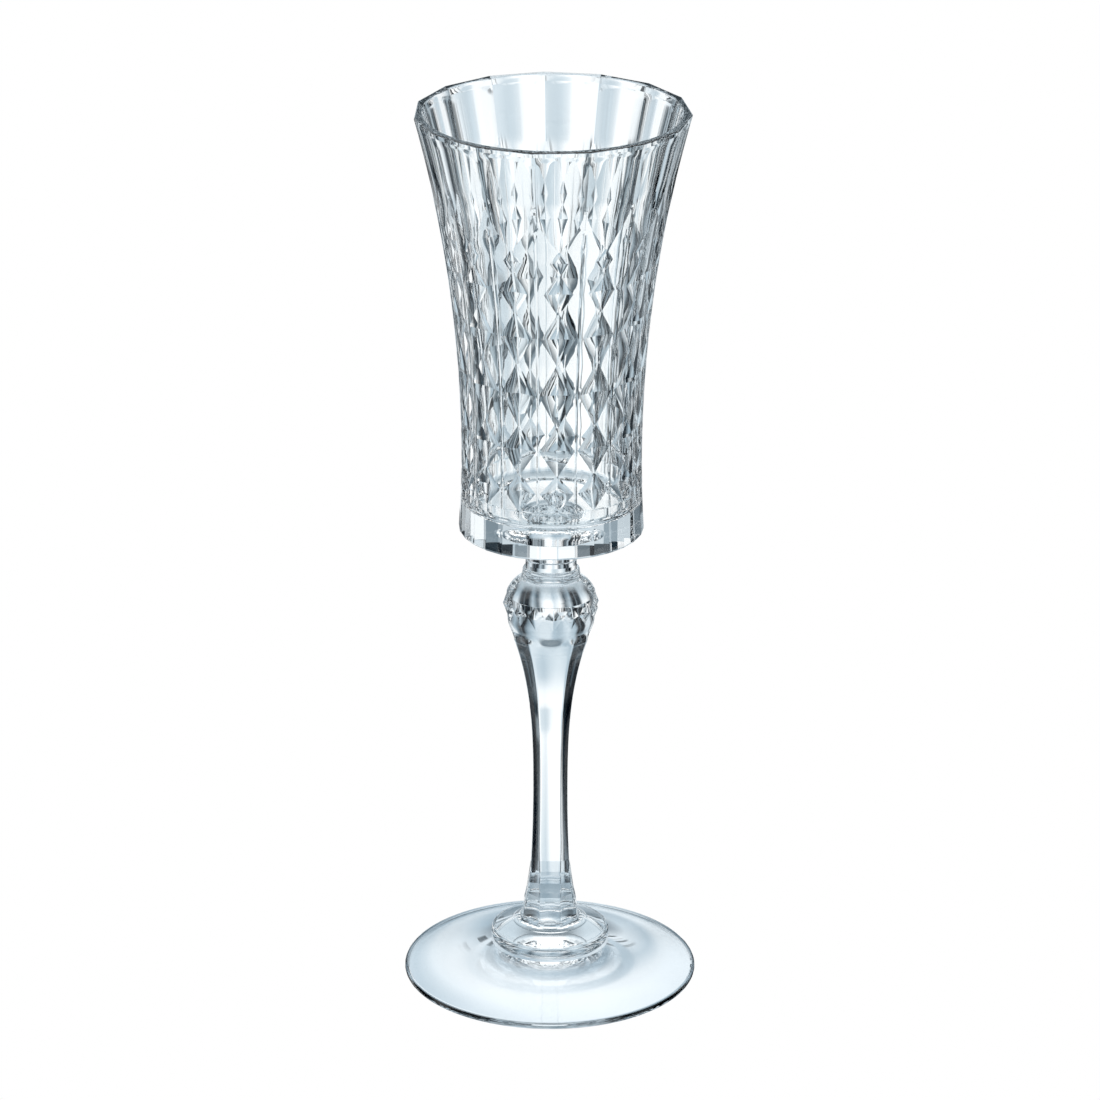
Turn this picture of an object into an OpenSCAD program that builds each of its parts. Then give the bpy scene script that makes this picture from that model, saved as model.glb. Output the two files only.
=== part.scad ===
// Champagne flute in pressed crystal glass: a flared bowl with fifteen flutes that turn into chains
// of sunk diamonds, on a short ringed neck, a cut knop, an eight-sided stem and a round foot. The
// pieces are stacked along Z and fused face to face. The foot rests on z = 0.

/* [Foot] */
// Diameter of the foot
foot_d = 73; // [64:1:84]
// Height at which the foot's cone meets the collar
foot_h = 8.2; // [7.4:0.2:10]
// Thickness of the foot's rounded edge
foot_edge_t = 2; // [1.6:0.1:2.6]
// Width of the flat ring that the foot rests on
foot_rest_w = 1; // [0.8:0.1:2]
// Depth of the hollow under the foot
foot_hollow = 5.2; // [2:0.2:5.8]

/* [Collar] */
// Diameter of the collar on the foot
collar_d = 29.4; // [25:0.2:35.4]
// Height of the collar
collar_h = 5.4; // [4.5:0.1:6.6]

/* [Stem] */
// Length of the stem
stem_h = 76.8; // [60:0.2:93]
// Width across the flats at the stem's waist
stem_waist_d = 8.6; // [7:0.2:10.4]
// Width across the flats where the stem meets the knop
stem_top_d = 17.6; // [14.6:0.2:20]
// Width across the flats just above the flare at the stem's foot
stem_base_d = 13.4; // [11.2:0.2:15.4]
// Share of the stem's width that its front, back and side flats take; the corner flats take the rest
stem_flat = 0.59; // [0.45:0.01:0.7]

/* [Knop and neck] */
// Height of the knop
knop_h = 15.6; // [13:0.1:18.8]
// Diameter of the knop across the points of its cut band
knop_d = 23.2; // [21.2:0.2:28]
// Height of the neck
neck_h = 12.8; // [10.6:0.2:15.4]
// Diameter of the neck
neck_d = 12.6; // [10.4:0.2:15.2]

/* [Bowl] */
// Height of the bowl
bowl_h = 106.2; // [88:0.2:128]
// Diameter of the rim across its ridges
rim_d = 67; // [56:0.5:80]
// Diameter of the bowl at its narrowest
waist_d = 44; // [38:0.5:53]
// Diameter of the bowl's base
base_d = 45.4; // [38:0.2:54]
// Thickness of the wall at the rim
rim_wall = 2.4; // [2:0.1:3]
// Thickness of the wall among the diamonds
wall = 2.9; // [2.6:0.1:3.6]
// Thickness of the solid base under the cavity
floor_t = 6.4; // [5.2:0.4:10]

/* [Cut pattern] */
// Number of flutes and diamond chains round the glass
columns = 15; // [12:1:18]
// Depth of a diamond's point below the round body of the bowl
diamond_depth = 1.2; // [0.6:0.1:1.5]
// Height of the knop's diamonds
knop_relief = 0.9; // [0.4:0.1:1.2]

/* [Hidden] */
$fn = 96;

// Levels where the pieces meet
collar_z = foot_h;
stem_z = collar_z + collar_h;
knop_z = stem_z + stem_h;
neck_z = knop_z + knop_h;
bowl_z = neck_z + neck_h;
rim_z = bowl_z + bowl_h;

// Radii
foot_r = foot_d / 2;
rest_r = foot_r - foot_edge_t / 2;
hollow_r = rest_r - foot_rest_w;
collar_r = collar_d / 2;
knop_r = knop_d / 2;
neck_r = neck_d / 2;
neck_ring_r = neck_r + 0.7;
rim_r = rim_d / 2;
waist_r = waist_d / 2;
base_r = base_d / 2;

// Stem: the quarter-round at its lower end, the length above it, and the level of its waist
stem_flare = 2.8;
stem_body_h = stem_h - stem_flare;
stem_waist_at = 0.454;
stem_power = 2.75;
// Creases near the stem's lower end: share of the height, and share of the way from waist to base
stem_creases = [[0, 1], [0.032, 0.91], [0.07, 0.65], [0.162, 0.25]];
crease_top = stem_creases[3];
stem_steps = 26;
// Share of the width that the flats take at the very bottom, where the section is regular
regular_flat = tan(22.5);
stem_foot_r = (stem_base_d / 2 + stem_flare) / cos(22.5);

// Neck: height of its ring and radius of its flare
neck_ring_h = 2.4;
neck_flare = 2.4;

// Bowl: level of its narrowest ring, the shape of the flare above it, its lower edge and cavity fillet
waist_at = 0.17;
flare_power = 2.05;
base_bevel = 0.5;
floor_round = 3;
rim_wall_from = 0.6;

// Diamonds of one chain from the bottom up: length as a share of the bowl's height,
// and width as a share of the column
diamond_from = 0.116;
diamond_len = [0.087, 0.118, 0.152, 0.125, 0.098, 0.056];
diamond_w = [0.84, 0.93, 0.93, 0.8, 0.62, 0.36];
diamonds = len(diamond_len);
diamond_to = diamond_from + sum_to(diamond_len, diamonds);

// Flutes: the height over which one widens, its full width as a share of the column, and its hollow
flute_taper = 0.12;
flute_w = 0.96;
flute_dip = 0.15;

pitch = 360 / columns;
// Turn that sets the front flute a little off the centre line
pattern_turn = 3.4;

function sum_to(list, n) = n <= 0 ? 0 : list[n - 1] + sum_to(list, n - 1);

// Points of an arc about [x, z], from angle a to angle b
function arc(x, z, r, a, b, n = 6) =
    [for (i = [0:n]) let (t = a + (b - a) * i / n) [x + r * cos(t), z + r * sin(t)]];

// Radius of the bowl's round body at share s of its height
function bowl_r(s) = s < waist_at
    ? waist_r + (base_r - waist_r) * pow((waist_at - s) / waist_at, 1.5)
    : waist_r + (rim_r - waist_r) * pow((s - waist_at) / (1 - waist_at), flare_power);

// Radius of the cavity at share s
function cavity_r(s) =
    bowl_r(s) - wall + (wall - rim_wall) * max(0, (s - rim_wall_from) / (1 - rim_wall_from));

// How far the stem's width has grown from waist to base (below) or from waist to knop (above) at
// share s of the height over the flare
function stem_below(s) = s < crease_top[0]
    ? lookup(s, stem_creases)
    : crease_top[1] * pow(max(0, stem_waist_at - s) / (stem_waist_at - crease_top[0]), 2);
function stem_above(s) = pow(max(0, s - stem_waist_at) / (1 - stem_waist_at), stem_power);

// Half width across the stem's flats at share s
function stem_half(s) = (stem_waist_d + (stem_base_d - stem_waist_d) * stem_below(s)
    + (stem_top_d - stem_waist_d) * stem_above(s)) / 2;

// Share of the width that the flats take at share s
function flat_share(s) = regular_flat + (stem_flat - regular_flat) * min(1, s * 3.5);

// A ring of a cut body is [z, corner radius, tip radius, centre radius, tip share, apex], where apex
// is 1 at the level of a diamond's point
// Points of one ring: corner, left tip, centre and right tip of every column
function ring_points(g) = [
    for (c = [0:columns - 1], k = [0:3])
        let (
            a = pattern_turn - 90 + pitch * (c + [-0.5, -g[4] / 2, 0, g[4] / 2][k]),
            r = [g[1], g[2], g[3], g[2]][k]
        )
        [r * cos(a), r * sin(a), g[0]]
];

// Two triangles of the strip between ring i and ring i + 1, split so that a diamond's side tips
// join the centre line where one diamond ends and the next begins
function strip_faces(i, j, m, rising) =
    let (a = i * m + j, b = i * m + (j + 1) % m, c = (i + 1) * m + (j + 1) % m, d = (i + 1) * m + j)
    rising ? [[a, c, b], [a, d, c]] : [[a, d, b], [b, d, c]];

// Closed body through a list of rings, with a flat cap at each end
module cut_body(rings) {
    m = 4 * columns;
    n = len(rings);
    polyhedron(
        points = [for (g = rings) each ring_points(g)],
        faces = concat(
            [[for (j = [0:m - 1]) j]],
            [for (i = [0:n - 2], j = [0:m - 1]) each strip_faces(i, j, m, ((j % 4) % 2 == 1) == (rings[i][5] == 1))],
            [[for (j = [m - 1:-1:0]) (n - 1) * m + j]]
        ),
        convexity = 8
    );
}

// Rings of the bowl: thirty flats round the base, the ends and the points of the diamonds, then
// the flutes up to the rim
function base_ring(s, inset = 0) =
    let (r = bowl_r(s) - inset) [bowl_z + s * bowl_h, r, r * cos(pitch / 4), r, 0.5, 0];
function end_ring(i) =
    let (s = diamond_from + sum_to(diamond_len, i), r = bowl_r(s))
    [bowl_z + s * bowl_h, r, r, r, diamond_w[min(i, diamonds - 1)], 0];
function point_ring(i) =
    let (s = diamond_from + sum_to(diamond_len, i) + diamond_len[i] / 2, r = bowl_r(s), w = diamond_w[i])
    [bowl_z + s * bowl_h, r, r, r - diamond_depth * min(1, 1.15 * w), w, 1];
function flute_ring(s) =
    let (r = bowl_r(s), t = min(1, (s - diamond_to) / flute_taper),
        w = diamond_w[diamonds - 1] + (flute_w - diamond_w[diamonds - 1]) * t * (2 - t))
    [bowl_z + s * bowl_h, r, r, r * cos(pitch / 2 * w) - flute_dip * t, w, 0];
bowl_rings = concat(
    [base_ring(0, base_bevel), base_ring(base_bevel / bowl_h), base_ring(diamond_from * 0.9)],
    [for (i = [0:diamonds - 1]) each [end_ring(i), point_ring(i)]],
    [end_ring(diamonds)],
    [for (t = [0.25, 0.5, 0.75, 1]) flute_ring(diamond_to + flute_taper * t)],
    [for (k = [1:3]) flute_ring(diamond_to + flute_taper + (1 - diamond_to - flute_taper) * k / 3)]
);

// Rings of the knop: taper, band of cut diamonds, then a smooth dome up to the neck
taper_h = knop_h * 0.35;
band_h = knop_h * 0.38;
dome_h = knop_h - taper_h - band_h;
band_r = knop_r - knop_relief;
dome_power = 1.4;
// Between the radius of the stem's flats and that of its corners
knop_foot_r = stem_top_d / 2 * 1.08;
function round_ring(z, r) = [z, r, r, r, 0.5, 0];
function band_ring(share, apex_r, apex) =
    [knop_z + taper_h + band_h * share, band_r, band_r, apex_r, 0.9, apex];
knop_rings = concat(
    [for (k = [0:4]) let (t = k / 5)
        round_ring(knop_z + taper_h * t, knop_foot_r + (band_r - knop_foot_r) * sin(90 * t))],
    [band_ring(0, band_r, 0), band_ring(0.5, knop_r, 1), band_ring(1, band_r, 0)],
    [for (k = [1:6]) let (t = 90 * k / 6)
        round_ring(neck_z - dome_h * (1 - pow(sin(t), 2 / dome_power)),
            neck_ring_r + (band_r - neck_ring_r) * pow(cos(t), 2 / dome_power))]
);

module foot() {
    color("aliceblue")
        rotate_extrude()
            polygon(concat(
                [[0, foot_hollow]],
                [for (k = [1:14]) let (t = k / 14) [hollow_r * t, foot_hollow * (1 - t * t)]],
                arc(rest_r, foot_edge_t / 2, foot_edge_t / 2, -90, 75),
                [[collar_r, foot_h], [0, foot_h]]
            ));
}

module foot_collar() {
    edge_r = 1.1;
    bulge = 0.35;
    side_h = collar_h * 0.7;
    color("lightsteelblue")
        rotate_extrude()
            polygon(concat(
                [[0, collar_z], [collar_r - bulge, collar_z], [collar_r, collar_z + side_h * 0.45]],
                arc(collar_r - edge_r, collar_z + side_h - edge_r, edge_r, 0, 80, 4),
                [[stem_foot_r, stem_z], [0, stem_z]]
            ));
}

// Four-sided body from a list of [distance of its flats from the axis, height]
module four_sided(widths) {
    rotate_extrude($fn = 4)
        polygon(concat([[0, 0]], [for (w = widths) [w[0] / cos(45), w[1]]], [[0, stem_h]]));
}

// Half widths and heights of the stem, from the flare at its foot to the knop
stem_path = concat(
    [for (p = arc(stem_base_d / 2 + stem_flare, stem_flare, stem_flare, -90, -180, 5)) [p[0], p[1], 0]],
    [for (k = [1:stem_steps]) let (s = k / stem_steps)
        [stem_half(s), stem_flare + stem_body_h * s, s]]
);

module stem() {
    color("lightcyan")
        translate([0, 0, stem_z])
            intersection() {
                rotate([0, 0, 45])
                    four_sided([for (p = stem_path) [p[0], p[1]]]);
                four_sided([for (p = stem_path) [p[0] * (1 + flat_share(p[2])) * cos(45), p[1]]]);
            }
}

module knop() {
    color("lightblue") cut_body(knop_rings);
}

module neck() {
    color("lightcyan")
        rotate_extrude()
            polygon(concat(
                [[0, neck_z], [neck_ring_r, neck_z]],
                arc(neck_ring_r - 0.4, neck_z + neck_ring_h - 0.4, 0.4, 0, 90, 3),
                [[neck_r, neck_z + neck_ring_h]],
                arc(neck_r + neck_flare, bowl_z - neck_flare, neck_flare, 180, 90, 6),
                [[0, bowl_z]]
            ));
}

// The smooth round inside, carried a little past the rim
module cavity() {
    side = (floor_t + floor_round) / bowl_h;
    top = 1.02;
    rotate_extrude()
        polygon(concat(
            [[0, bowl_z + floor_t]],
            arc(cavity_r(side) - floor_round, bowl_z + floor_t + floor_round, floor_round, -90, 0),
            [for (k = [1:24]) let (s = side + (top - side) * k / 24) [cavity_r(s), bowl_z + s * bowl_h]],
            [[0, bowl_z + top * bowl_h]]
        ));
}

module bowl() {
    color("aliceblue")
        difference() {
            cut_body(bowl_rings);
            cavity();
        }
}

foot();
foot_collar();
stem();
knop();
neck();
bowl();
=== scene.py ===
"""Champagne flute in pressed crystal glass, standing on a pale floor.

Six glass pieces replace the plain nodes of the frame: foot, collar, stem, knop, neck and bowl.
They meet face to face at the same levels as in the frame, and each shape is worked out as a grid
of rings round the Z axis. Round the glass stands a studio of pale panels with dark gaps between.
"""

import math

import bpy
import numpy as np
from mathutils import Matrix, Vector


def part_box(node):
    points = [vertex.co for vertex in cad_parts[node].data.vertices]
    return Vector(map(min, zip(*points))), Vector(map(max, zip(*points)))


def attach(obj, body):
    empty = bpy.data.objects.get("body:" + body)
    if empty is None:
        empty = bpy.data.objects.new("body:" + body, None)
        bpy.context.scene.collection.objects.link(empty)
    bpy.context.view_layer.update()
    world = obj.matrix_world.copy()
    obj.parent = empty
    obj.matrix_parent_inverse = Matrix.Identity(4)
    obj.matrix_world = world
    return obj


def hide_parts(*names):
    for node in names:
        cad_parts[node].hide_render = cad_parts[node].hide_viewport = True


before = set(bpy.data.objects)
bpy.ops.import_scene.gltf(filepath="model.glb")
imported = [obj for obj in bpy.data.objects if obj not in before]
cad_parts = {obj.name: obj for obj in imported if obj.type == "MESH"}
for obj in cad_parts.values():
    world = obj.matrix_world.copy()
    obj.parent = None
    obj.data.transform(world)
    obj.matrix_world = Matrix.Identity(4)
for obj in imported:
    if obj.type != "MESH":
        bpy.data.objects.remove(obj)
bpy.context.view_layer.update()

MM = 0.001

# ---------------------------------------------------------------- camera

CAMERA_BACK = 1.3083
CAMERA_HEIGHT = 0.6255
CAMERA_SIDE = -0.0003
CAMERA_DOWN = math.radians(21.397)
CAMERA_ROLL = math.radians(0.19)
CAMERA_LENS = 187.55
SENSOR = 36.0


def make_camera():
    """A long lens well above the rim, looking down along +Y."""
    data = bpy.data.cameras.new("camera")
    data.sensor_width = SENSOR
    data.lens = CAMERA_LENS
    data.clip_start = 0.05
    data.clip_end = 40.0
    camera = bpy.data.objects.new("camera", data)
    bpy.context.scene.collection.objects.link(camera)
    place = Matrix.Translation((CAMERA_SIDE, -CAMERA_BACK, CAMERA_HEIGHT))
    turn = Matrix.Rotation(math.pi / 2 - CAMERA_DOWN, 4, "X") @ Matrix.Rotation(CAMERA_ROLL, 4, "Z")
    camera.matrix_world = place @ turn
    bpy.context.scene.camera = camera


make_camera()

# ---------------------------------------------------------------- sizes, in metres

foot_low, foot_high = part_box("foot")
collar_low, collar_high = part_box("foot_collar")
stem_low, stem_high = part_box("stem")
knop_low, knop_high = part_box("knop")
neck_low, neck_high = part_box("neck")
bowl_low, bowl_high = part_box("bowl")

COLLAR_Z = collar_low.z
STEM_Z = stem_low.z
KNOP_Z = knop_low.z
NECK_Z = neck_low.z
BOWL_Z = bowl_low.z
RIM_Z = bowl_high.z
BOWL_H = RIM_Z - BOWL_Z

FOOT_R = foot_high.x
FOOT_EDGE = 2.0 * MM
FOOT_REST_W = 0.4 * MM
FOOT_DISH = 0.35 * MM
FOOT_HOLLOW = 5.2 * MM

COLLAR_R = collar_high.x
COLLAR_EDGE = 1.1 * MM
COLLAR_UNDER = 1.5 * MM
COLLAR_SIDE = 0.7  # share of the collar's height that its side takes

STEM_SIDES = 8
STEM_WAIST = 4.3 * MM
STEM_TOP = 8.8 * MM
STEM_BASE = 6.7 * MM
STEM_FLARE = 2.8 * MM
STEM_WAIST_AT = 36.4 * MM
STEM_CREASE_AT = 14.8 * MM
STEM_CREASE = 4.9 * MM
STEM_POWER = 2.75
STEM_SHARP = 60.0
STEM_FLAT = 0.59
STEM_ROUND = 1.04  # a round section's radius over half the width across its flats
STEM_DISH = 0.12 * MM
# Heights over the stem's lower end, and the half width across the flats at each crease
CREASE_HEIGHTS = np.array([STEM_FLARE, 5.2 * MM, 8.0 * MM, STEM_CREASE_AT])
CREASE_HALVES = np.array([STEM_BASE, 6.48 * MM, 5.86 * MM, STEM_CREASE])
# Heights between which the stem changes: flats unequal, section eight-sided, flats hollow, flat again
WIDEN_FROM, WIDEN_TO = 4.0 * MM, 24.0 * MM
SQUARE_TO = 2.6 * MM
DISH_FROM, DISH_FULL = 2.0 * MM, 6.0 * MM
DISH_FADE, DISH_TO = 72.0 * MM, 76.8 * MM

KNOP_R = 11.6 * MM
KNOP_TAPER = 0.35
KNOP_BAND = 0.38
KNOP_RELIEF = 1.1 * MM
KNOP_WIDTH = 0.9
KNOP_GROUND = KNOP_R - 0.75 * KNOP_RELIEF
KNOP_STEP = 0.2 * MM
KNOP_ROUND_BY = 0.55  # share of the taper over which the section turns round
KNOP_DOME_POWER = 1.4

NECK_R = 6.3 * MM
NECK_RING_R = 7.0 * MM
NECK_RING_H = 2.4 * MM
NECK_RING_ROUND = 0.4 * MM
NECK_RING_BULGE = 0.15 * MM
NECK_BULGE_AT = 0.4 * NECK_RING_H
NECK_FILLET = 0.3 * MM
NECK_FLARE = 2.4 * MM

COLUMNS = 15
PITCH = 2 * math.pi / COLUMNS
PATTERN_TURN = math.radians(3.4)
RIM_R = 33.5 * MM
WAIST_R = 22.0 * MM
BASE_R = 22.7 * MM
WAIST_AT = 0.17
FLARE_POWER = 2.05
WALL = 2.9 * MM
RIM_WALL = 2.4 * MM
THINS_FROM = 0.6
FLOOR = 6.4 * MM
FLOOR_ROUND = 3.0 * MM
FLOOR_MIDDLE = 0.4 * MM
BASE_INSET = 0.9 * MM
BASE_BEVEL = 0.5 * MM
BASE_BEVEL_TOP = 0.006
BASE_CORNER = 0.04 * MM
PANEL_CORNER = 0.06 * MM
# Shares of the bowl's height; widths are shares of half a column
DIAMOND_FROM = 0.116
DIAMOND_LENGTHS = (0.087, 0.118, 0.152, 0.125, 0.098, 0.056)
DIAMOND_WIDTHS = (0.84, 0.88, 0.88, 0.77, 0.6, 0.34)
DIAMOND_TO = DIAMOND_FROM + sum(DIAMOND_LENGTHS)
DIAMOND_DEPTH = 1.2 * MM
DEPTH_PER_WIDTH = 1.15
HOLLOW_GROUND = 0.3
FLUTE_TAPER = 0.12
FLUTE_DIP = 0.15 * MM
FLUTE_END, FLUTE_ARCH, FLUTE_FADE = 0.988, 0.03, 0.01
LIP_FROM = 0.9962
CAVITY_FROM = 0.985
RIDGE_STRIP = 0.05
CORNER_STRIP = 0.93
STRIP_GAP = 0.02
PLAIN_EDGE = 0.45

# ---------------------------------------------------------------- mesh making

GLASS_SLOT = 0
JOINT_SLOT = 1


def closed_rings(name, rings, joints=()):
    """A closed body from an (n, m, 3) array of rings, lowest inside first: each ring joins the next
    with a strip of quads, and the first and last rings close on a middle point with a fan. joints
    names the ends ("first", "last") whose fan lies against another piece."""
    n, m, _ = rings.shape
    first, last = rings[0].mean(0), rings[-1].mean(0)
    points = np.concatenate([rings.reshape(-1, 3), first[None], last[None]])
    j = np.arange(m)
    k = (j + 1) % m
    i = np.arange(n - 1)[:, None] * m
    quads = np.stack([i + j, i + k, i + m + k, i + m + j], -1).reshape(-1, 4)
    low = np.stack([np.full(m, n * m), k, j], -1)
    high = np.stack([np.full(m, n * m + 1), (n - 1) * m + j, (n - 1) * m + k], -1)
    corners = np.concatenate([quads.ravel(), low.ravel(), high.ravel()])
    sizes = np.concatenate([np.full(len(quads), 4), np.full(2 * m, 3)])
    slots = np.zeros(len(sizes), int)
    slots[len(quads):len(quads) + m] = JOINT_SLOT if "first" in joints else GLASS_SLOT
    slots[len(quads) + m:] = JOINT_SLOT if "last" in joints else GLASS_SLOT
    mesh = bpy.data.meshes.new(name)
    mesh.vertices.add(len(points))
    mesh.vertices.foreach_set("co", points.ravel())
    mesh.loops.add(len(corners))
    mesh.loops.foreach_set("vertex_index", corners)
    mesh.polygons.add(len(sizes))
    starts = np.concatenate([[0], np.cumsum(sizes)[:-1]])
    mesh.polygons.foreach_set("loop_start", starts)
    mesh.polygons.foreach_set("material_index", slots)
    mesh.update(calc_edges=True)
    mesh.validate()
    return mesh


def circle(count):
    """Angles of count points round the axis, from the front, evenly spaced."""
    return np.arange(count) * 2 * math.pi / count


def turned(radius, height, angle):
    """Points at radius and height, at angle from the front (-Y) towards +X; the arguments
    broadcast together into an (n, m) grid."""
    radius, height, angle = np.broadcast_arrays(radius, height, angle)
    return np.stack([radius * np.sin(angle), -radius * np.cos(angle), height], -1)


def arc(x, z, rx, rz, start, end, count):
    """Points [radius, height] of an elliptic arc about [x, z], from start to end degrees."""
    t = np.radians(np.linspace(start, end, count))
    return np.stack([x + rx * np.cos(t), z + rz * np.sin(t)], -1)


def smooth(x, low, high):
    """0 below low, 1 above high, and an even S between."""
    t = np.clip((x - low) / (high - low), 0, 1)
    return t * t * (3 - 2 * t)


# ---------------------------------------------------------------- foot, collar, stem


def foot_rings():
    """A profile turned round the axis: a parabola for the hollow, a flat resting ring, a
    half-round edge and a slightly dished cone up to the flat top under the collar."""
    rest = FOOT_R - FOOT_EDGE / 2
    hollow = rest - FOOT_REST_W
    t = np.linspace(0.02, 1, 20)
    under = np.stack([hollow * t, FOOT_HOLLOW * (1 - t ** 2)], -1)
    ring = np.array([[rest - FOOT_REST_W / 2, 0.0]])
    edge = arc(rest, FOOT_EDGE / 2, FOOT_EDGE / 2, FOOT_EDGE / 2, -90, 72, 12)
    s = np.linspace(0, 1, 18)[1:]
    dish = FOOT_DISH * np.sin(math.pi * s)
    top = np.stack([edge[-1, 0] + (COLLAR_R - edge[-1, 0]) * s,
                    edge[-1, 1] + (COLLAR_Z - edge[-1, 1]) * s - dish], -1)
    cap = np.array([[COLLAR_R - COLLAR_UNDER, COLLAR_Z]])
    path = np.concatenate([under, ring, edge, top, cap])
    return turned(path[:, :1], path[:, 1:], circle(192))


def collar_rings():
    """A disc whose side rounds in below, whose top edge is rounded, and whose top slopes up to the
    flare of the stem."""
    side = (STEM_Z - COLLAR_Z) * COLLAR_SIDE
    low = np.array([[COLLAR_R - COLLAR_UNDER, COLLAR_Z]])
    wall = arc(COLLAR_R - COLLAR_UNDER, COLLAR_Z + side * 0.5, COLLAR_UNDER, side * 0.5, -80, 0, 10)
    edge_z = COLLAR_Z + side - COLLAR_EDGE
    edge = arc(COLLAR_R - COLLAR_EDGE, edge_z, COLLAR_EDGE, COLLAR_EDGE, 0, 82, 8)
    path = np.concatenate([low, wall, edge])
    t = np.linspace(0, 1, 10)[1:, None]
    end = (STEM_BASE + STEM_FLARE - STEM_FLARE * math.cos(math.radians(80))) * STEM_ROUND
    rise = path[-1, 1] + (STEM_Z - path[-1, 1]) * t
    slope = np.concatenate([path[-1, 0] + (end - path[-1, 0]) * t, rise], 1)
    path = np.concatenate([path, slope])
    return turned(path[:, :1], path[:, 1:], circle(192))


def stem_half(z):
    """Half width across the stem's flats at height z over its lower end: a power curve each way
    from the waist, then straight slopes below a crease, a little steeper at each next one."""
    above = np.clip(z - STEM_WAIST_AT, 0, None) / (KNOP_Z - STEM_Z - STEM_WAIST_AT)
    below = np.clip(STEM_WAIST_AT - z, 0, None) / (STEM_WAIST_AT - STEM_CREASE_AT)
    curved = STEM_WAIST + (STEM_TOP - STEM_WAIST) * above ** STEM_POWER
    curved = curved + (STEM_CREASE - STEM_WAIST) * below ** 2
    creased = np.interp(z, CREASE_HEIGHTS, CREASE_HALVES)
    return np.where(z < STEM_CREASE_AT, creased, curved)


def section(half, flat, round_off, angle):
    """Radius of an eight-sided section with half the width across its flats, where flat is how much
    of that width the front, back and side flats take, turned into a circle by round_off. Its
    corners are softened by a p-norm over the eight sides."""
    normals = np.arange(STEM_SIDES) * 2 * math.pi / STEM_SIDES
    apothem = np.where(np.arange(STEM_SIDES) % 2 == 0, 1.0, (1 + flat[..., None]) / math.sqrt(2))
    reach = np.clip(np.cos(angle[..., None] - normals), 0, None) / apothem
    sides = 1 / (reach ** STEM_SHARP).sum(-1) ** (1 / STEM_SHARP)
    return half * (sides + (STEM_ROUND - sides) * round_off)


def section_angles(flat):
    """Angles round the section, gathered near its corners, for each row's share of flat, and how
    hollow each place is: 1 in the middle of a side and 0 at its corner."""
    half_flat = np.arctan(flat)
    u = np.array([-1, -0.96, -0.86, -0.5, 0, 0.5, 0.86, 0.96])
    wide = half_flat * u
    narrow = (math.pi / 4 - half_flat) * u + math.pi / 4
    sides = np.concatenate([wide, narrow], 1)
    turns = np.arange(4)[None, :, None] * math.pi / 2
    return (turns + sides[:, None, :]).reshape(len(flat), -1), np.tile(1 - u ** 2, STEM_SIDES)


def stem_rings():
    """The eight-sided section scaled along the height by the waisted half width. Its flats are
    slightly hollow. At the lower end it flares by a quarter-round and turns into a circle."""
    flare = arc(STEM_BASE + STEM_FLARE, STEM_FLARE, STEM_FLARE, STEM_FLARE, -100, -180, 14)
    flare[:, 1] -= flare[0, 1]
    even = np.linspace(flare[-1, 1], KNOP_Z - STEM_Z, 72)
    z = np.unique(np.concatenate([even, CREASE_HEIGHTS[1:]]))
    shaft = np.stack([stem_half(z), z], -1)[1:]
    path = np.concatenate([flare, shaft])
    half, z = path[:, :1], path[:, 1:]
    widen = smooth(z, WIDEN_FROM, WIDEN_TO)
    regular = math.tan(math.pi / STEM_SIDES)
    flat = regular + (STEM_FLAT - regular) * widen
    angle, hollow = section_angles(flat)
    radius = section(half, flat, 1 - smooth(z, 0, SQUARE_TO), angle)
    dish = STEM_DISH * hollow * smooth(z, DISH_FROM, DISH_FULL) * (1 - smooth(z, DISH_FADE, DISH_TO))
    return turned(radius - dish, STEM_Z + z, angle)


# ---------------------------------------------------------------- cut patterns


def column_shares(edge, inner=4, outer=3):
    """Places across one column, from -1 to just under 1, for an array of diamond half widths: a
    ridge strip at 0, inner steps out to the diamond's edge, and outer steps on to the strip at the
    panel's corner. Every row has the same number of places, so the rows make a grid."""
    edge = np.clip(edge, RIDGE_STRIP + STRIP_GAP, CORNER_STRIP - STRIP_GAP)[:, None]
    a = RIDGE_STRIP + (edge - RIDGE_STRIP) * np.linspace(0, 1, inner + 1)
    b = edge + (CORNER_STRIP - edge) * np.linspace(0, 1, outer + 1)[1:]
    half = np.concatenate([a, b], 1)
    zero = np.zeros_like(edge)
    return np.concatenate([zero - 1, -half[:, ::-1], zero, half], 1)


def column_angles(shares):
    """Angle of every place of every column, for an (n, k) array of shares across a column."""
    columns = np.arange(COLUMNS)[None, :, None]
    angle = PATTERN_TURN + PITCH * (columns + shares[:, None, :] / 2)
    return angle.reshape(len(shares), -1)


def cut_rings(radius, height, shares):
    """Rings from the radius at each share across a column, the same in every column."""
    radius = np.broadcast_to(radius, shares.shape)
    return turned(np.tile(radius, (1, COLUMNS)), height, column_angles(shares))


def base_radius(corner, shares):
    """Radius of a base with two flats a column, whose corners are at radius corner: one at each
    column's edge and one at its middle."""
    return corner * math.cos(PITCH / 4) / np.cos(PITCH / 2 * (np.abs(shares) - 0.5))


def pyramid(shares, v, width):
    """Height of a four-sided pyramid, 1 at its point and 0 at its outline, where |share| / width
    plus |v| makes 1, with the ridge strip's edge cut flat."""
    across = np.clip(np.abs(shares), RIDGE_STRIP, CORNER_STRIP)
    return np.clip(1 - (across - RIDGE_STRIP) / width - np.abs(v), 0, 1)


def corner_flat(shares, depth):
    """A small bevel on the panel corners: depth taken off over the corner strip."""
    over = np.clip((np.abs(shares) - CORNER_STRIP) / (1 - CORNER_STRIP), 0, 1)
    return depth * over


def flat_cut(corner, shares, width):
    """Radius of a round body with one flat ground on it per column: the chord that spans width of
    the half column, and the round itself outside it."""
    half = PITCH / 2
    chord = corner * np.cos(half * width) / np.cos(half * shares)
    return np.minimum(chord, corner)


# ---------------------------------------------------------------- knop and neck


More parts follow.
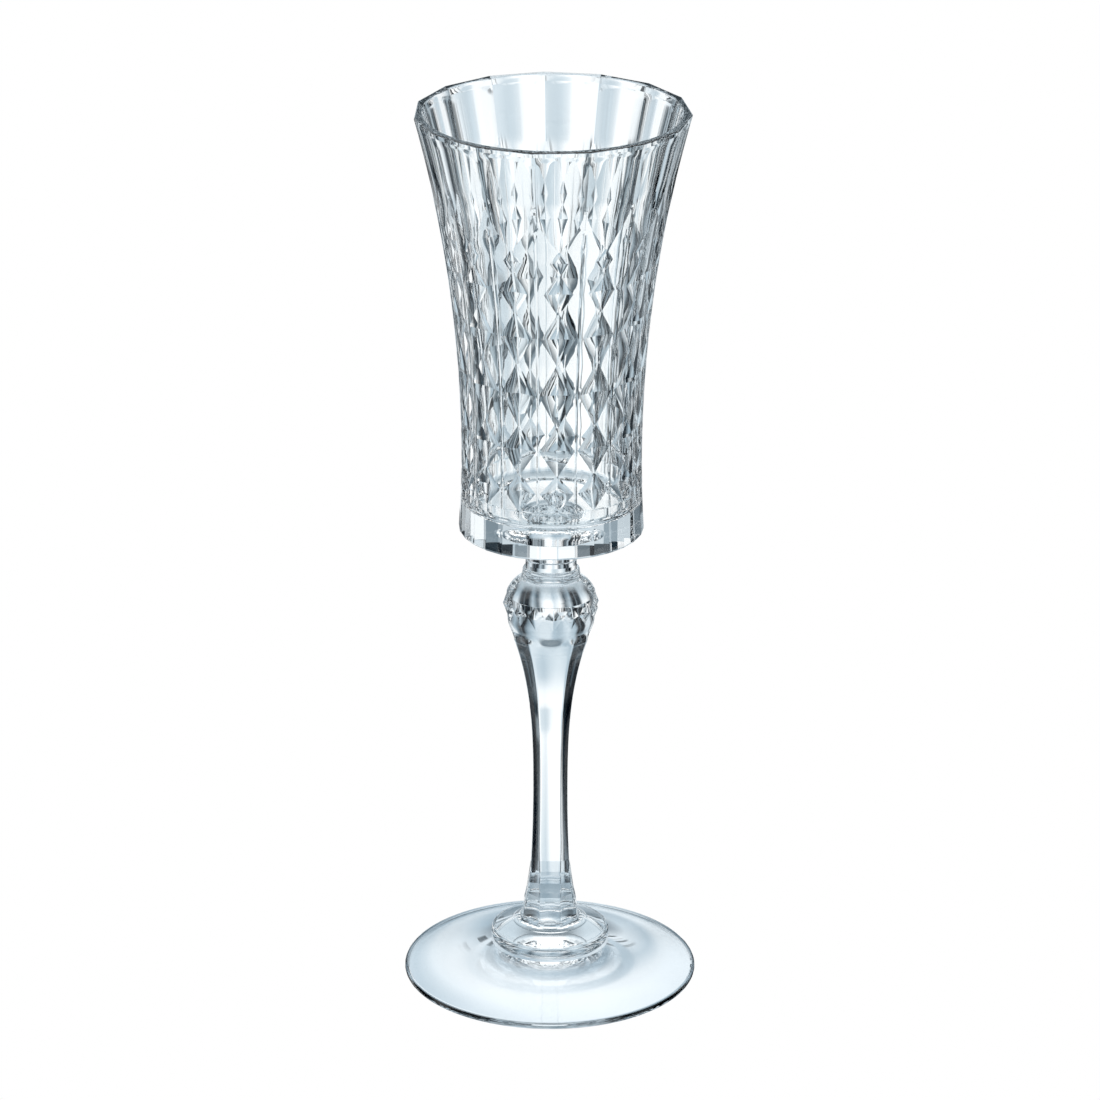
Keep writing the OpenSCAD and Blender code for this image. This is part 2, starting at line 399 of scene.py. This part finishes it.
def knop_rings():
    """From the stem's section, a taper that turns round, a band of pyramids, then a smooth dome up
    to the neck."""
    height = NECK_Z - KNOP_Z
    taper, band = KNOP_TAPER * height, KNOP_BAND * height
    dome = height - taper - band
    t = np.linspace(0, 1, 16)[:-1, None]
    angle = column_angles(column_shares(np.full(len(t), PLAIN_EDGE)))
    half = STEM_TOP + (KNOP_GROUND / STEM_ROUND - STEM_TOP) * np.sin(t * math.pi / 2)
    taper_radius = section(half, np.full_like(t, STEM_FLAT), smooth(t, 0.0, KNOP_ROUND_BY), angle)
    low = turned(taper_radius, KNOP_Z + taper * t, angle)
    v = np.linspace(-1, 1, 17)
    shares = column_shares(RIDGE_STRIP + KNOP_WIDTH * (1 - np.abs(v)))
    relief = KNOP_RELIEF * pyramid(shares, v[:, None], KNOP_WIDTH)
    side = cut_rings(KNOP_GROUND + relief, KNOP_Z + taper + band * (v[:, None] + 1) / 2, shares)
    a = np.radians(np.linspace(0, 90, 18))[:, None]
    bulge = 2 / KNOP_DOME_POWER
    ring = NECK_RING_R + (KNOP_GROUND + KNOP_STEP - NECK_RING_R) * np.cos(a) ** bulge
    level = NECK_Z - dome * (1 - np.sin(a) ** bulge)
    top = turned(ring, level, column_angles(column_shares(np.full(len(a), PLAIN_EDGE))))
    return np.concatenate([low, side, top])


def neck_rings():
    """A ring, a step in, a straight neck and a quarter-round flare out to the bowl."""
    ring_top = NECK_Z + NECK_RING_H
    ring_x, ring_z = NECK_RING_R - NECK_RING_ROUND, ring_top - NECK_RING_ROUND
    path = np.concatenate([
        [[NECK_RING_R, NECK_Z], [NECK_RING_R + NECK_RING_BULGE, NECK_Z + NECK_BULGE_AT]],
        arc(ring_x, ring_z, NECK_RING_ROUND, NECK_RING_ROUND, 0, 90, 6),
        arc(NECK_R + NECK_FILLET, ring_top + NECK_FILLET, NECK_FILLET, NECK_FILLET, -90, -180, 6),
        arc(NECK_R + NECK_FLARE, BOWL_Z - NECK_FLARE, NECK_FLARE, NECK_FLARE, 180, 90, 12),
    ])
    return turned(path[:, :1], path[:, 1:], circle(128))


# ---------------------------------------------------------------- bowl


def bowl_radius(s):
    """Radius at the panel corners at share s of the bowl's height: a power curve each way from
    the narrowest level."""
    s = np.asarray(s, float)
    below = (BASE_R - WAIST_R) * (np.clip(WAIST_AT - s, 0, 1) / WAIST_AT) ** 1.5
    above = (RIM_R - WAIST_R) * (np.clip(s - WAIST_AT, 0, 1) / (1 - WAIST_AT)) ** FLARE_POWER
    return WAIST_R + below + above


def cavity_radius(s):
    """Radius of the smooth round inside at share s, where the wall thins towards the rim."""
    thinned = np.clip((np.asarray(s) - THINS_FROM) / (1 - THINS_FROM), 0, 1)
    return bowl_radius(s) - WALL + (WALL - RIM_WALL) * thinned


def underside_rings():
    """Flat rings from the neck's flare out to the base, which turn from a circle into its flats."""
    shares = column_shares(np.full(5, PLAIN_EDGE))
    radius = np.linspace(NECK_R + NECK_FLARE, BASE_R - BASE_INSET, 5)[:, None]
    mix = np.linspace(0, 1, 5)[:, None] ** 2
    return cut_rings(radius * (1 + (base_radius(1.0, shares) - 1) * mix), BOWL_Z, shares)


def base_rings():
    """The plain base: two flats a column under the bowl's own outline, bevelled at the bottom."""
    bevelled = np.linspace(0.0008, BASE_BEVEL_TOP, 5)
    plain = np.linspace(2 * BASE_BEVEL_TOP, DIAMOND_FROM - 0.004, 10)
    s = np.concatenate([bevelled, plain])[:, None]
    shares = column_shares(np.full(len(s), PLAIN_EDGE))
    bevel = BASE_BEVEL * np.clip(1 - s / BASE_BEVEL_TOP, 0, 1) ** 2
    radius = base_radius(bowl_radius(s), shares) - bevel - corner_flat(shares, BASE_CORNER)
    return cut_rings(radius, BOWL_Z + s * BOWL_H, shares)


def diamond_rings():
    """The bowl's outline with a chain of pyramids sunk into each column, one to each length. Their
    faces are a little hollow: the depth p at a place becomes p + HOLLOW_GROUND p (1 - p)."""
    rows = []
    start = DIAMOND_FROM
    v = np.linspace(-1, 1, 17)[:-1, None]
    for length, width in zip(DIAMOND_LENGTHS, DIAMOND_WIDTHS):
        shares = column_shares(RIDGE_STRIP + width * (1 - np.abs(v[:, 0])))
        sunk = pyramid(shares, v, width)
        sunk = sunk + HOLLOW_GROUND * sunk * (1 - sunk)
        s = start + length * (v + 1) / 2
        depth = DIAMOND_DEPTH * min(1.0, DEPTH_PER_WIDTH * width)
        radius = bowl_radius(s) - depth * sunk - corner_flat(shares, PANEL_CORNER)
        rows.append(cut_rings(radius, BOWL_Z + s * BOWL_H, shares))
        start += length
    return np.concatenate(rows)


def flute_width(s):
    """How much of the half column a flute takes at share s: it opens quickly, then eases to all."""
    t = np.clip((s - DIAMOND_TO) / FLUTE_TAPER, 0, 1)
    return t * (2 - t)


def flute_rings():
    """One flat a column that widens upwards, with a shallow hollow that ends in an arch below the
    lip."""
    s = np.concatenate([np.linspace(DIAMOND_TO, 0.93, 28), np.linspace(0.935, LIP_FROM, 18)])[:, None]
    shares = column_shares(flute_width(s[:, 0]))
    width = np.maximum(flute_width(s), 1e-4)
    bow = 1 - np.sqrt(np.clip(1 - shares ** 2, 0, 1))
    arch = np.clip((FLUTE_END - s - FLUTE_ARCH * bow) / FLUTE_FADE, 0, 1)
    dip = FLUTE_DIP * width * np.clip(1 - (shares / width) ** 2, 0, 1) * arch
    bevel = corner_flat(shares, PANEL_CORNER) * (1 - width)
    radius = flat_cut(bowl_radius(s), shares, width) - dip - bevel
    return cut_rings(radius, BOWL_Z + s * BOWL_H, shares)


def lip_rings(last):
    """A rounded lip over the wall, from the last outside ring to the cavity: a quarter-round, a flat
    and a quarter-round down."""
    outer = np.hypot(last[:, 0], last[:, 1])
    angle = np.arctan2(last[:, 0], -last[:, 1])
    level = last[0, 2]
    inner = float(cavity_radius(1.0))
    soft = RIM_Z - level
    t = np.radians(np.linspace(0, 90, 6))[:, None]
    over = turned(outer - soft * (1 - np.cos(t)), level + soft * np.sin(t), angle)[1:]
    s = np.linspace(0, 1, 6)[1:-1, None]
    top = turned(outer - soft + (inner + 2 * soft - outer) * s, RIM_Z, angle)
    down = turned(inner + soft * (1 - np.cos(t[::-1])), level + soft * np.sin(t[::-1]), angle)
    return np.concatenate([over, top, down])


def cavity_rings(last):
    """The smooth round wall down from the lip, a quarter-round and the flat floor, at the angles of
    the last outside ring."""
    angle = np.arctan2(last[:, 0], -last[:, 1])
    low = (FLOOR + FLOOR_ROUND) / BOWL_H
    s = np.linspace(CAVITY_FROM, low, 44)[:, None]
    centre = float(cavity_radius(low)) - FLOOR_ROUND
    path = np.concatenate([
        np.concatenate([cavity_radius(s), BOWL_Z + s * BOWL_H], 1),
        arc(centre, BOWL_Z + FLOOR + FLOOR_ROUND, FLOOR_ROUND, FLOOR_ROUND, 0, -90, 12)[1:],
        np.stack([np.linspace(centre, FLOOR_MIDDLE, 10)[1:], np.full(9, BOWL_Z + FLOOR)], -1),
    ])
    return turned(path[:, :1], path[:, 1:], angle)


def bowl_rings():
    """Underside, plain faceted base, chains of sunk diamonds, flutes, a rounded lip, the round
    cavity and its floor, as one closed skin."""
    outside = np.concatenate([underside_rings(), base_rings(), diamond_rings(), flute_rings()])
    return np.concatenate([outside, lip_rings(outside[-1]), cavity_rings(outside[-1])])


# ---------------------------------------------------------------- materials


CLEAR = (0.965, 0.98, 0.985)
# The foot's tint: the glass's own faint cool tint, made much darker with painted shade for the grey-blue
# the foot shows
FOOT_TINT_AND_SHADE = (0.74, 0.8, 0.84)
TINT_DRIFT = 0.02


def node_tree(material):
    """The material's node tree, emptied."""
    material.use_nodes = True
    tree = material.node_tree
    tree.nodes.clear()
    return tree


def crystal(name, tint):
    """Polished lead-free crystal: clear glass with a cool tint that drifts over the piece. The tint is
    faint for clear glass; a darker one, as on the foot, holds painted shade.
    """
    material = bpy.data.materials.new(name)
    tree = node_tree(material)
    nodes, links = tree.nodes, tree.links
    output = nodes.new("ShaderNodeOutputMaterial")
    glass = nodes.new("ShaderNodeBsdfPrincipled")
    glass.inputs["Transmission Weight"].default_value = 1.0
    glass.inputs["IOR"].default_value = 1.54
    glass.inputs["Roughness"].default_value = 0.0
    place = nodes.new("ShaderNodeTexCoord")
    drift = nodes.new("ShaderNodeTexNoise")
    drift.inputs["Scale"].default_value = 55.0
    drift.inputs["Detail"].default_value = 2.0
    tone = nodes.new("ShaderNodeValToRGB")
    tone.color_ramp.elements[0].position = 0.3
    tone.color_ramp.elements[0].color = (*tint, 1)
    tone.color_ramp.elements[1].position = 0.7
    tone.color_ramp.elements[1].color = (*[min(1.0, c + TINT_DRIFT) for c in tint], 1)
    links.new(place.outputs["Object"], drift.inputs["Vector"])
    links.new(drift.outputs["Fac"], tone.inputs["Fac"])
    links.new(tone.outputs["Color"], glass.inputs["Base Color"])
    links.new(glass.outputs["BSDF"], output.inputs["Surface"])
    return material


def fused_joint():
    """The face where two gathers are fused: nothing shows there, so light goes straight on."""
    material = bpy.data.materials.new("fused_joint")
    tree = node_tree(material)
    output = tree.nodes.new("ShaderNodeOutputMaterial")
    clear = tree.nodes.new("ShaderNodeBsdfTransparent")
    tree.links.new(clear.outputs["BSDF"], output.inputs["Surface"])
    return material


# ---------------------------------------------------------------- pieces

SHARP_ANGLE = math.radians(4.0)
joint_material = fused_joint()


def add_piece(name, node, rings, material, joints=()):
    """Puts a closed body in the scene, smooth except at its cut edges, in place of its node."""
    mesh = closed_rings(name, rings, joints)
    mesh.materials.append(material)
    mesh.materials.append(joint_material)
    mesh.shade_smooth()
    mesh.set_sharp_from_angle(angle=SHARP_ANGLE)
    piece = bpy.data.objects.new(name, mesh)
    bpy.context.scene.collection.objects.link(piece)
    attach(piece, "root")
    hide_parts(node)
    return piece


# The foot takes a darker tint than the other pieces: painted shade on top of the glass's own tint
add_piece("foot_disc", "foot", foot_rings(), crystal("foot_crystal_and_shade", FOOT_TINT_AND_SHADE), ["last"])
add_piece("collar_boss", "foot_collar", collar_rings(), crystal("collar_crystal", CLEAR), ["first", "last"])
add_piece("stem_shaft", "stem", stem_rings(), crystal("stem_crystal", CLEAR), ["first", "last"])
add_piece("knop_ball", "knop", knop_rings(), crystal("knop_crystal", CLEAR), ["first", "last"])
add_piece("neck_ring", "neck", neck_rings(), crystal("neck_crystal", CLEAR), ["first", "last"])
add_piece("bowl_cup", "bowl", bowl_rings(), crystal("bowl_crystal", CLEAR), ["first"])

# ---------------------------------------------------------------- stage and light


def emission_material(name, colour, strength):
    """A plain glowing surface."""
    material = bpy.data.materials.new(name)
    tree = node_tree(material)
    output = tree.nodes.new("ShaderNodeOutputMaterial")
    glow = tree.nodes.new("ShaderNodeEmission")
    glow.inputs["Color"].default_value = (*colour, 1)
    glow.inputs["Strength"].default_value = strength
    tree.links.new(glow.outputs["Emission"], output.inputs["Surface"])
    return material


FLOOR_REACH = 8.0
FLOOR_DROP = 0.0002


def pale_floor():
    """A square sheet just under the foot, lit so evenly that it looks white. The glass neither
    refracts nor reflects it, and shows the studio instead."""
    r, z = FLOOR_REACH, -FLOOR_DROP
    mesh = bpy.data.meshes.new("floor")
    mesh.from_pydata([(-r, -r, z), (r, -r, z), (r, r, z), (-r, r, z)], [], [(0, 1, 2, 3)])
    mesh.materials.append(emission_material("floor_light", (1, 1, 1), 1.0))
    sheet = bpy.data.objects.new("floor", mesh)
    bpy.context.scene.collection.objects.link(sheet)
    sheet.visible_transmission = False
    sheet.visible_glossy = False


def colour_ramp(tree, value, low, high, stops):
    """A ramp of colours over value, which runs from low to high; stops pair a value with a colour."""
    scale = tree.nodes.new("ShaderNodeMapRange")
    scale.inputs["From Min"].default_value = low
    scale.inputs["From Max"].default_value = high
    ramp = tree.nodes.new("ShaderNodeValToRGB")
    elements = ramp.color_ramp.elements
    for index, (at, colour) in enumerate(stops):
        place = (at - low) / (high - low)
        element = elements[index] if index < 2 else elements.new(place)
        element.position = place
        element.color = (*colour, 1)
    tree.links.new(value, scale.inputs["Value"])
    tree.links.new(scale.outputs["Result"], ramp.inputs["Fac"])
    return ramp.outputs["Color"]


def math_node(tree, operation, *values):
    """The result of a math operation on sockets or plain numbers."""
    node = tree.nodes.new("ShaderNodeMath")
    node.operation = operation
    for socket, value in zip(node.inputs, values):
        if isinstance(value, (int, float)):
            socket.default_value = value
        else:
            tree.links.new(value, socket)
    return node.outputs["Value"]


BLUE_LEAN = 0.045
DISPLAY_POWER = 2.2


def cool_grey(shown):
    """The linear colour of a grey that shows at the given level (0 black, 1 white): less red and
    more blue by the lean, which fades out near white."""
    lean = BLUE_LEAN * min(1.0, 5 * max(0.0, 1 - shown))
    shown = np.array([shown - lean, shown + 0.1 * lean, shown + 0.8 * lean])
    return tuple(np.clip(shown, 0.0, None) ** DISPLAY_POWER)


# Each stop pairs a direction with a level. A turn is in degrees clockwise from +Y, seen from above,
# and a rise is in degrees over the horizon.

# Levels by turn: below the horizon, in two calmer bands of rise, and above the horizon
AROUND_LOW = [
    (-180, 0.1), (-120, 0.1), (-98, 0.6), (-94, 1), (-86, 1), (-78, 0.3), (-66, 0.1), (-50, 1),
    (-40, 0.95), (-36, 0.2), (-31, 0.04), (-30, 0.6), (-29, 0.04), (-25, 0.06), (-21, 0.75),
    (-15, 0.3), (-10, 1), (-4, 0.84), (-1, 1), (4, 1), (8, 0.9), (12, 0.3), (18, 0.75), (23, 0.06),
    (29, 0.04), (30, 0.5), (31, 0.04), (36, 0.2), (43, 0.9), (52, 0.85), (60, 0.1), (120, 0.1),
]
AROUND_CALM = [
    (-180, 0.1), (-120, 0.1), (-100, 0.5), (-94, 1), (-86, 1), (-78, 0.3), (-66, 0.05), (-57, 0.3),
    (-50, 1), (-40, 1), (-36, 0.1), (-31, 0.02), (-30, 0.5), (-29, 0.02), (-25.5, 0.05), (-22, 0.8),
    (-14, 0.93), (-10, 0.85), (-5, 0.78), (-2, 0.82), (1, 0.97), (8, 0.97), (13, 0.9), (17, 0.82),
    (22, 0.6), (25.5, 0.05), (29, 0.02), (30, 0.5), (31, 0.02), (43, 0.8), (60, 0.1),
]
AROUND_HIGH = [
    (-180, 1), (-165, 1), (-150, 0.6), (-122, 0.3), (-108, 0.5), (-98, 1), (-82, 1), (-70, 0.3),
    (-60, 0.4), (-50, 0.9), (-38, 0.7), (-30, 0.6), (-21, 0.9), (-14, 0.82), (-8, 0.46), (8, 0.48),
    (14, 0.8), (21, 0.88), (30, 0.5), (37, 0.6), (42, 1), (60, 1), (75, 0.5), (95, 0.7), (118, 0.3),
    (130, 1), (142, 1), (155, 0.5), (166, 1),
]
# Panels towards -Y, which show below the horizon wherever they are the brighter
BACK_PANELS = [
    (-180, 0.6), (-174, 0), (92, 0), (97, 0.85), (107, 0.85), (112, 0), (122, 0), (126, 0.95),
    (144, 0.95), (148, 0), (160, 0), (165, 0.6), (180, 0.6),
]
# By rise: the share of the calmer levels, the share of white, and the level that multiplies it all
CALM_RISE = [(-90, 0), (-20, 0), (-18.8, 1), (-16.2, 1), (-15.2, 0), (-13, 0), (-10, 1), (90, 1)]
WHITE_RISE = [(-90, 1), (-48, 1), (-38, 0), (34, 0), (44, 1), (90, 1)]
DIM_RISE = [
    (-90, 0.92), (-65, 0.85), (-55, 0.7), (-46, 0.68), (-40, 0.68), (-34, 0.82), (-28, 0.95),
    (-22, 1), (-15, 0.97), (-8, 0.84), (8, 0.84), (16, 0.93), (35, 0.95), (44, 0.9), (52, 1.1),
    (90, 1.05),
]

# Thin dark streaks in the panels: where they show, by turn and by rise, their width in degrees, their
# level, and the noise values between which one starts
STREAK_TURN = [
    (-180, 1), (-97, 1), (-94, 0), (-86, 0), (-83, 1), (-52, 1), (-49, 0), (-41, 0), (-38, 1), (-9, 1),
    (-5, 0), (5, 0), (9, 1), (127, 1), (131, 0), (139, 0), (143, 1), (180, 1),
]
STREAK_RISE = [(-90, 0), (-24.5, 0), (-23, 1), (-13, 1), (-12, 0), (90, 0)]
STREAK_WIDTH = 1.6
STREAK_LEVEL = 0.04
STREAK_FROM, STREAK_TO = 0.46, 0.49

# The low panels lean by this many degrees of turn for each degree of rise from the upright level
LEAN = 0.15
UPRIGHT_LEVEL = -20.0

# The rise where the low panels end and the rise where the high ones are whole
LOW_TOP, HIGH_START = 3.0, 12.0
STUDIO_STRENGTH = 1.28


def vector_math(tree, operation, first, second):
    """The result of a math operation on two colours, channel by channel."""
    node = tree.nodes.new("ShaderNodeVectorMath")
    node.operation = operation
    tree.links.new(first, node.inputs[0])
    tree.links.new(second, node.inputs[1])
    return node.outputs["Vector"]


def blend(tree, share, first, second):
    """first where share is 0 and second where it is 1; None stands for white."""
    node = tree.nodes.new("ShaderNodeMix")
    node.data_type = "VECTOR"
    factor, _, _, _, *ends = node.inputs
    tree.links.new(share, factor)
    for socket, value in zip(ends, (first, second)):
        if value is None:
            socket.default_value = (1, 1, 1)
        else:
            tree.links.new(value, socket)
    return node.outputs[1]


def by_turn(tree, turn, stops):
    """The cool grey that shows at each turn."""
    return colour_ramp(tree, turn, -180, 180, [(at, cool_grey(level)) for at, level in stops])


def share_ramp(tree, value, reach, stops):
    """A plain share, from 0 to 1, for each value from -reach to reach."""
    return colour_ramp(tree, value, -reach, reach, [(at, (level,) * 3) for at, level in stops])


def streaks(tree, turn, rise, leaning):
    """White with thin dark streaks, from a one-way noise over the leaning turn."""
    noise = tree.nodes.new("ShaderNodeTexNoise")
    noise.noise_dimensions = "1D"
    noise.inputs["Detail"].default_value = 1.0
    noise.inputs["Scale"].default_value = 1 / STREAK_WIDTH
    tree.links.new(leaning, noise.inputs["W"])
    ends = [(STREAK_FROM, cool_grey(STREAK_LEVEL)), (STREAK_TO, (1, 1, 1))]
    streak = colour_ramp(tree, noise.outputs["Fac"], 0, 1, ends)
    turns = share_ramp(tree, turn, 180, STREAK_TURN)
    shown = vector_math(tree, "MULTIPLY", turns, share_ramp(tree, rise, 90, STREAK_RISE))
    return blend(tree, shown, None, streak)


def panel_light(tree):
    """The colour of the studio in the direction of each ray: low and high panels by turn, white far
    above and below, all multiplied by a level that depends on the rise."""
    place = tree.nodes.new("ShaderNodeTexCoord")
    split = tree.nodes.new("ShaderNodeSeparateXYZ")
    tree.links.new(place.outputs["Generated"], split.inputs["Vector"])
    x, y, z = split.outputs
    turn = math_node(tree, "MULTIPLY", math_node(tree, "ARCTAN2", x, y), 180 / math.pi)
    rise = math_node(tree, "MULTIPLY", math_node(tree, "ARCSINE", z), 180 / math.pi)
    lean = math_node(tree, "MULTIPLY", math_node(tree, "SUBTRACT", rise, UPRIGHT_LEVEL), LEAN)
    leaning = math_node(tree, "ADD", turn, lean)

    streaky = streaks(tree, turn, rise, leaning)
    low = vector_math(tree, "MULTIPLY", by_turn(tree, leaning, AROUND_LOW), streaky)
    low = blend(tree, share_ramp(tree, rise, 90, CALM_RISE), low, by_turn(tree, turn, AROUND_CALM))
    low = vector_math(tree, "MAXIMUM", low, by_turn(tree, turn, BACK_PANELS))
    high = tree.nodes.new("ShaderNodeMapRange")
    high.inputs["From Min"].default_value = LOW_TOP
    high.inputs["From Max"].default_value = HIGH_START
    tree.links.new(rise, high.inputs["Value"])
    panel = blend(tree, high.outputs["Result"], low, by_turn(tree, turn, AROUND_HIGH))
    panel = blend(tree, share_ramp(tree, rise, 90, WHITE_RISE), panel, None)
    dim = colour_ramp(tree, rise, -90, 90, [(at, cool_grey(level)) for at, level in DIM_RISE])
    return vector_math(tree, "MULTIPLY", panel, dim)


def studio_world():
    """What the glass stands in: pale panels round it with dark gaps between. Seen directly it is a
    plain white backdrop."""
    world = bpy.data.worlds.new("studio")
    world.use_nodes = True
    tree = world.node_tree
    tree.nodes.clear()
    output = tree.nodes.new("ShaderNodeOutputWorld")
    plain = tree.nodes.new("ShaderNodeBackground")
    plain.inputs["Color"].default_value = (1, 1, 1, 1)
    panels = tree.nodes.new("ShaderNodeBackground")
    panels.inputs["Strength"].default_value = STUDIO_STRENGTH
    tree.links.new(panel_light(tree), panels.inputs["Color"])
    path = tree.nodes.new("ShaderNodeLightPath")
    pick = tree.nodes.new("ShaderNodeMixShader")
    tree.links.new(path.outputs["Is Camera Ray"], pick.inputs["Fac"])
    tree.links.new(panels.outputs["Background"], pick.inputs[1])
    tree.links.new(plain.outputs["Background"], pick.inputs[2])
    tree.links.new(pick.outputs["Shader"], output.inputs["Surface"])
    bpy.context.scene.world = world


pale_floor()
studio_world()

scene = bpy.context.scene
scene.view_settings.view_transform = "Standard"
scene.cycles.max_bounces = 32
scene.cycles.transmission_bounces = 32
scene.cycles.glossy_bounces = 12
scene.cycles.transparent_max_bounces = 24
